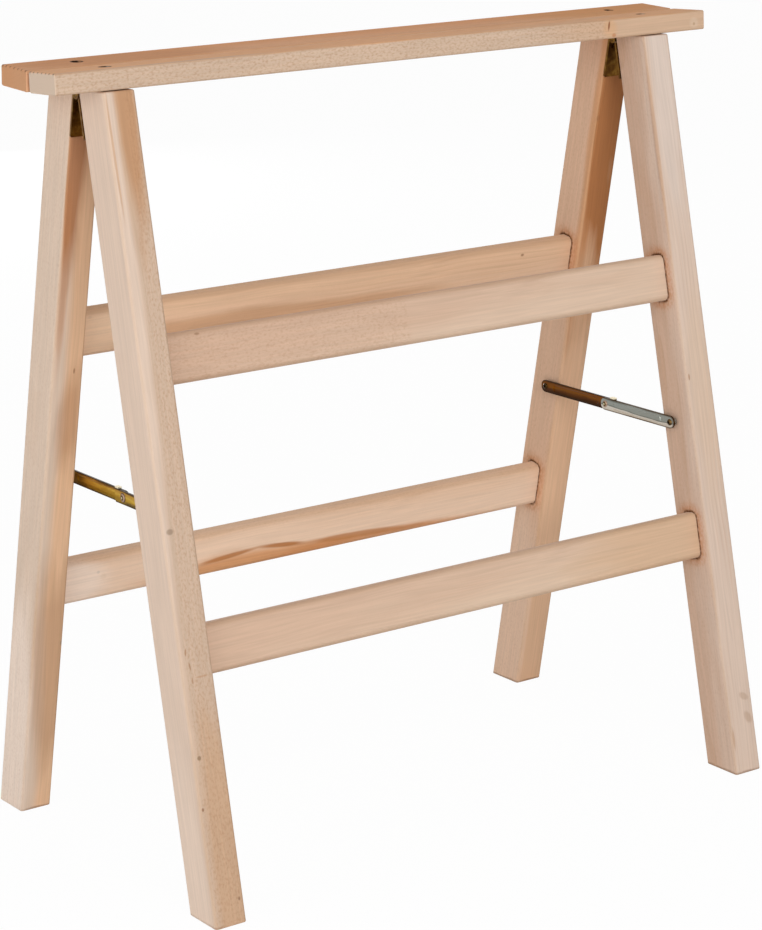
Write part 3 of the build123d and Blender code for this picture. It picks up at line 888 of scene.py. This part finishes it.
finishes = {
    # Darker than the plate alone: painted shade and dark painted reflections for the hinges in the narrow fold
    # between the frames.
    "yellow_zinc": plated_steel(
        "yellow_chromate_zinc", [(0.0, "#563610"), (0.5, "#6E4A16"), (1.0, "#86642A")]),
    "bright_zinc": plated_steel("bright_zinc", [(0.0, "#8F9795"), (0.5, "#AEB2AF"), (1.0, "#C9C8C0")]),
    # Dark plate with painted shade: a sunk rail screw stands in a dark hole, and a stay screw's recess lies in
    # shade.
    "dark_shaded_screw": plated_steel(
        "yellow_chromate_zinc_dark", [(0.0, "#2A1D0E"), (0.5, "#453219"), (1.0, "#6E5430")],
        shine=(0.2, 0.35)),
    # The rivet's rings are a painted highlight and painted shade; the links' bands are painted reflections.
    "rivet": plated_steel(
        "yellow_chromate_zinc_ringed",
        [(0.0, "#D8D6B4"), (0.18, "#B9B088"), (0.3, "#4A3212"), (0.48, "#5A3E1A"), (0.62, "#B8A08C"),
         (0.8, "#8A7060"), (1.0, "#4A2E16")],
        "rivet", drift=0.06),
    "brown_link": plated_steel(
        "yellow_chromate_zinc_brown",
        [(0.0, "#241404"), (0.2, "#3A1E04"), (0.4, "#542C04"), (0.55, "#724208"), (0.8, "#72400A"),
         (1.0, "#482604")],
        "link", edge="#341E0A"),
    "gold_link": plated_steel(
        "yellow_chromate_zinc_gold",
        [(0.0, "#4E3A0C"), (0.2, "#866A16"), (0.45, "#B28A24"), (0.62, "#C8A63E"), (0.85, "#AC8030"),
         (1.0, "#644618")],
        "link", drift=0.3, shine=(0.25, 0.55)),
    "grey_link": plated_steel(
        "bright_zinc_banded",
        [(0.0, "#8A7C6C"), (0.12, "#C4BAAA"), (0.34, "#CCC6BC"), (0.43, "#666A62"), (0.52, "#92968F"),
         (0.85, "#91958F"), (1.0, "#50534A")],
        "link", edge="#4A3418"),
}
print("finishes", sorted(finishes))

# %% [markdown]
# Most metal pieces take the finish of their slot in the record. The links, the rivets and the screws in the
# open have a finish of their own; the screws' is darkened with painted shade.

# %% Finish of each metal piece
FINISH_OF = {
    "back_left_stay_link": "gold_link",
    "front_left_stay_link": "gold_link",
    "back_right_stay_link": "brown_link",
    "front_right_stay_link": "grey_link",
}
FINISH_OF |= {f"{side}_{kind}_screws": "dark_shaded_screw" for side in SIDES for kind in ("stay", "rail")}
FINISH_OF |= {f"{end}_rivet_{half}": "rivet" for end in ENDS for half in ("head", "tail")}

metal_nodes = {name: node for name, node in frame["nodes"].items() if name not in TONES}
record_slot = {name: node.material_slots[0].material.name for name, node in metal_nodes.items()}
finish_of_node = {name: finishes[FINISH_OF.get(name, slot)] for name, slot in record_slot.items()}
for node_name, node in metal_nodes.items():
    node.material_slots[0].material = finish_of_node[node_name]
print("plated pieces", len(metal_nodes))

# %% [markdown]
# ## Wood screws
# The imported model's screws are plain pins with a head. Real ones are rolled with a thread and struck with a
# cross recess, and there are twenty of them, so Geometry Nodes make them: a tree turns a cylinder into one
# screw and sets a copy on every seat. All sizes are named inputs. In the tree, the distance from the head
# decides the radius: the head's cone, the plain shank, the thread's ridge that climbs with the turn, and
# the point. A flat head has no crown; a round one is a dome over its rim.

# %% The body of a screw
SCREW_SIDES = 24
ROWS_PER_TURN = 8
CAP_RINGS = 5
CAP_DEPTH = 1e-7
MERGE_WITHIN = 1e-6


def screw_radius(tree, given, depth, turn):
    """Head and shank, less the thread's groove, drawn in to the point."""
    shank = ramp(tree, depth, 0.0, given["Head Taper"], given["Head Radius"], given["Shank Radius"])
    climb = maths(tree, "DIVIDE", depth, given["Pitch"])
    ridge_place = maths(tree, "MULTIPLY_ADD", turn, 1 / tau, climb)
    groove = maths(tree, "PINGPONG", ridge_place, 0.5)
    thread_start = maths(tree, "ADD", given["Plain Length"], given["Pitch"])
    cut = ramp(tree, depth, given["Plain Length"], thread_start, high=given["Thread Depth"])
    groove_depth = maths(tree, "MULTIPLY", groove, cut)
    grooved = maths(tree, "MULTIPLY_ADD", groove_depth, -2.0, shank)
    point_start = maths(tree, "SUBTRACT", given["Length"], given["Point Length"])
    drawn_in = ramp(tree, depth, point_start, given["Length"], 1.0, 0.0)
    return maths(tree, "MULTIPLY", grooved, drawn_in)


def screw_body(tree, given):
    """A cylinder of radius 1 turned to shape, with the rings of its cap on a dome."""
    turns = maths(tree, "DIVIDE", given["Length"], given["Pitch"])
    blank = add(tree, "GeometryNodeMeshCylinder", {
        "Vertices": SCREW_SIDES, "Side Segments": maths(tree, "MULTIPLY", turns, ROWS_PER_TURN),
        "Fill Segments": CAP_RINGS, "Radius": 1.0, "Depth": given["Length"]}, fill_type="TRIANGLE_FAN")
    position = add(tree, "GeometryNodeInputPosition").outputs[0]
    here = add(tree, "ShaderNodeSeparateXYZ", {0: position}).outputs
    half = maths(tree, "MULTIPLY", given["Length"], 0.5)
    depth = maths(tree, "SUBTRACT", half, here["Z"])
    turn = maths(tree, "ARCTAN2", here["Y"], here["X"])
    flat = add(tree, "ShaderNodeCombineXYZ", {"X": here["X"], "Y": here["Y"]}).outputs[0]
    share = vector_maths(tree, "LENGTH", flat)
    dome_angle = maths(tree, "MULTIPLY", share, tau / 4)
    widen = maths(tree, "DIVIDE", maths(tree, "SINE", dome_angle), share)
    on_cap = maths(tree, "LESS_THAN", depth, CAP_DEPTH)
    cap_rise = maths(tree, "MULTIPLY", maths(tree, "COSINE", dome_angle), on_cap)
    height = maths(tree, "MULTIPLY", given["Crown"], cap_rise)
    scale = maths(tree, "MULTIPLY", screw_radius(tree, given, depth, turn), widen)
    spread = add(tree, "ShaderNodeVectorMath", {0: flat, "Scale": scale}, operation="SCALE").outputs[0]
    upright = add(tree, "ShaderNodeCombineXYZ", {"Z": maths(tree, "SUBTRACT", height, depth)}).outputs[0]
    place = vector_maths(tree, "ADD", spread, upright)
    turned = add(tree, "GeometryNodeSetPosition", {"Geometry": blank.outputs["Mesh"], "Position": place})
    sockets = {"Geometry": turned.outputs[0], "Distance": MERGE_WITHIN}
    return add(tree, "GeometryNodeMergeByDistance", sockets).outputs[0]


print("screws with", SCREW_SIDES, "sides and", ROWS_PER_TURN, "rows in a turn of the thread")

# %% [markdown]
# Two crossed blocks, cut out of the head, make the recess. Faces are smooth and rims sharp, as on turned
# steel. Every screw points out of the wood and is spun by chance, as it happened to end up.

# %% Recess, rims and seats
SHARP_ANGLE = radians(35)


def cross_recess(tree, given, body):
    """The body with a cross struck into its head."""
    long_side = maths(tree, "MULTIPLY", given["Recess Reach"], 2.0)
    deep_side = maths(tree, "MULTIPLY", given["Recess Depth"], 2.0)
    top = add(tree, "ShaderNodeCombineXYZ", {"Z": given["Crown"]}).outputs[0]
    punches = add(tree, "GeometryNodeJoinGeometry")
    for x, y in ((long_side, given["Recess Width"]), (given["Recess Width"], long_side)):
        size = add(tree, "ShaderNodeCombineXYZ", {"X": x, "Y": y, "Z": deep_side}).outputs[0]
        punch = add(tree, "GeometryNodeMeshCube", {"Size": size}).outputs["Mesh"]
        lifted = add(tree, "GeometryNodeTransform", {"Geometry": punch, "Translation": top})
        tree.links.new(lifted.outputs[0], punches.inputs[0])
    sockets = {"Mesh 1": body, "Mesh 2": punches.outputs[0], "Self Intersection": True}
    cut = add(tree, "GeometryNodeMeshBoolean", sockets, operation="DIFFERENCE", solver="EXACT")
    return cut.outputs["Mesh"]


def sharp_rims(tree, mesh):
    """Smooth faces that meet in sharp rims."""
    smooth = add(tree, "GeometryNodeSetShadeSmooth", {"Geometry": mesh, "Shade Smooth": True}).outputs[0]
    fold_angle = add(tree, "GeometryNodeInputMeshEdgeAngle").outputs[0]
    sharp = add(tree, "FunctionNodeCompare", {0: fold_angle, 1: SHARP_ANGLE}, operation="GREATER_THAN")
    sockets = {"Geometry": smooth, "Selection": sharp.outputs[0], "Shade Smooth": False}
    return add(tree, "GeometryNodeSetShadeSmooth", sockets, domain="EDGE").outputs[0]


def on_seats(tree, given, screw):
    """A copy of the screw on every seat, as one mesh."""
    outwards = add(tree, "GeometryNodeInputNamedAttribute", {"Name": "outwards"}, data_type="FLOAT_VECTOR")
    upright = add(tree, "FunctionNodeAlignRotationToVector", {"Vector": outwards.outputs[0]}, axis="Z")
    spin = add(tree, "FunctionNodeRandomValue", {"Max": tau, "Seed": given["Seed"]}, data_type="FLOAT")
    about_axis = add(tree, "FunctionNodeAxisAngleToRotation", {"Axis": (0, 0, 1), "Angle": spin.outputs[1]})
    turns = {"Rotation": upright.outputs[0], "Rotate By": about_axis.outputs[0]}
    seated = add(tree, "FunctionNodeRotateRotation", turns, rotation_space="LOCAL")
    sockets = {"Points": given["Seats"], "Instance": screw, "Rotation": seated.outputs[0]}
    copies = add(tree, "GeometryNodeInstanceOnPoints", sockets)
    return add(tree, "GeometryNodeRealizeInstances", {0: copies.outputs[0]}).outputs[0]


print("rims are sharp from", round(degrees(SHARP_ANGLE)), "degrees")

# %% [markdown]
# The tree's inputs are the seats, the sizes, a seed for the spin and the finish. Realize Instances and Set
# Material come last, so that the result is one plain mesh with its own material.

# %% A tree that makes screws
SCREW_SIZES = (
    "Head Radius", "Head Taper", "Crown", "Shank Radius", "Length", "Plain Length", "Point Length", "Pitch",
    "Thread Depth", "Recess Width", "Recess Reach", "Recess Depth")


def screw_tree():
    tree = bpy.data.node_groups.new("wood_screws", "GeometryNodeTree")
    tree.interface.new_socket("Seats", in_out="INPUT", socket_type="NodeSocketGeometry")
    for size in SCREW_SIZES:
        tree.interface.new_socket(size, in_out="INPUT", socket_type="NodeSocketFloat")
    tree.interface.new_socket("Seed", in_out="INPUT", socket_type="NodeSocketInt")
    tree.interface.new_socket("Finish", in_out="INPUT", socket_type="NodeSocketMaterial")
    tree.interface.new_socket("Screws", in_out="OUTPUT", socket_type="NodeSocketGeometry")
    given = add(tree, "NodeGroupInput").outputs
    screw = sharp_rims(tree, cross_recess(tree, given, screw_body(tree, given)))
    sockets = {"Geometry": on_seats(tree, given, screw), "Material": given["Finish"]}
    plated = add(tree, "GeometryNodeSetMaterial", sockets)
    add(tree, "NodeGroupOutput", {0: plated.outputs[0]})
    return tree


wood_screws = screw_tree()
screw_sockets = wood_screws.interface.items_tree
screw_inputs = {socket.name: socket.identifier for socket in screw_sockets if socket.in_out == "INPUT"}
print("screw tree with", len(wood_screws.nodes), "nodes and inputs", list(screw_inputs))

# %% [markdown]
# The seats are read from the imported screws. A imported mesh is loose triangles, so its points are first
# gathered into one group for each screw. The longest direction of a group is the screw's axis, and the
# wider end is the head.

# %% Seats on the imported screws
MICRON = 0.001 * MM


def screw_clouds(mesh):
    """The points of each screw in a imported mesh: points that triangles join are one screw."""
    number = {}
    same = [number.setdefault((vertex.co / MICRON).to_tuple(0), len(number)) for vertex in mesh.vertices]
    points = np.array(list(number)) * MICRON
    group = np.arange(len(points))
    for _ in range(len(points)):
        before = group.copy()
        for triangle in mesh.polygons:
            corners = [same[index] for index in triangle.vertices]
            group[corners] = group[corners].min()
        if (group == before).all():
            break
    return [points[group == screw] for screw in np.unique(group)]


def screw_seat(cloud):
    """Middle of the head's top, outward direction and length of one screw, in metres."""
    axes = np.linalg.svd(cloud - cloud.mean(axis=0))[2]
    own = cloud @ axes.T
    middle = (own.min(axis=0) + own.max(axis=0)) / 2
    width = np.linalg.norm(own[:, 1:] - middle[1:], axis=1)
    outwards = 1 if own[width.argmax(), 0] > middle[0] else -1
    reach = np.ptp(own[:, 0])
    top = middle + np.array((outwards * reach / 2, 0, 0))
    return top @ axes, outwards * axes[0], reach


seats = {}
for node_name, node in frame["nodes"].items():
    if node_name.endswith("_screws"):
        seats[node_name] = [screw_seat(cloud) for cloud in screw_clouds(node.data)]
        lengths = [round(reach / MM, 1) for _, _, reach in seats[node_name]]
        print(node_name, len(lengths), "seats, lengths", lengths)

# %% [markdown]
# Each set of screws is one object: its points are the seats, and the tree turns them into screws. The result
# is kept as a plain mesh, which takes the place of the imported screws.

# %% Screws on their seats
SCREWS = {
    "rail": dict(head=4.6, taper=2.1, crown=0.0, shank=2.5, plain=20.0, pitch=2.8, thread=0.7),
    "hinge": dict(head=3.5, taper=1.75, crown=0.0, shank=1.75, plain=3.0, pitch=1.5, thread=0.45),
    "stay": dict(head=3.3, taper=0.3, crown=1.6, shank=2.2, plain=8.0, pitch=2.4, thread=0.6),
}
POINT_MM = 4.0
RECESS_MM = dict(width=1.0, depth=1.2)
RECESS_REACH = 0.55


def screw_sizes(screw, length):
    """Values for the tree's inputs, in millimetres."""
    return {
        "Head Radius": screw["head"], "Head Taper": screw["taper"], "Crown": screw["crown"],
        "Shank Radius": screw["shank"], "Length": length - screw["crown"], "Plain Length": screw["plain"],
        "Point Length": POINT_MM, "Pitch": screw["pitch"], "Thread Depth": screw["thread"],
        "Recess Width": RECESS_MM["width"], "Recess Reach": RECESS_REACH * screw["head"],
        "Recess Depth": RECESS_MM["depth"]}


def make_screws(node_name, screw, seed):
    """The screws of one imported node, as one plain mesh."""
    tops, directions, lengths = zip(*seats[node_name])
    rims = [top - outwards * screw["crown"] * MM for top, outwards in zip(tops, directions)]
    points = bpy.data.meshes.new(node_name + "_threaded")
    points.from_pydata(rims, [], [])
    outwards = points.attributes.new("outwards", "FLOAT_VECTOR", "POINT")
    outwards.data.foreach_set("vector", np.array(directions).ravel())
    piece = bpy.data.objects.new(node_name + "_threaded", points)
    bpy.context.scene.collection.objects.link(piece)
    modifier = piece.modifiers.new("screws", "NODES")
    modifier.node_group = wood_screws
    for size, value in screw_sizes(screw, min(lengths) / MM).items():
        modifier[screw_inputs[size]] = value * MM
    modifier[screw_inputs["Seed"]] = seed
    modifier[screw_inputs["Finish"]] = finish_of_node[node_name]
    piece.data = bpy.data.meshes.new_from_object(piece.evaluated_get(bpy.context.evaluated_depsgraph_get()))
    piece.modifiers.clear()
    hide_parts(node_name)
    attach(piece, node_name.split("_")[0] + "_frame")
    print(piece.name, len(rims), "screws,", len(piece.data.polygons), "faces")


for seed, node_name in enumerate(sorted(seats)):
    make_screws(node_name, SCREWS[node_name.split("_")[1]], seed)
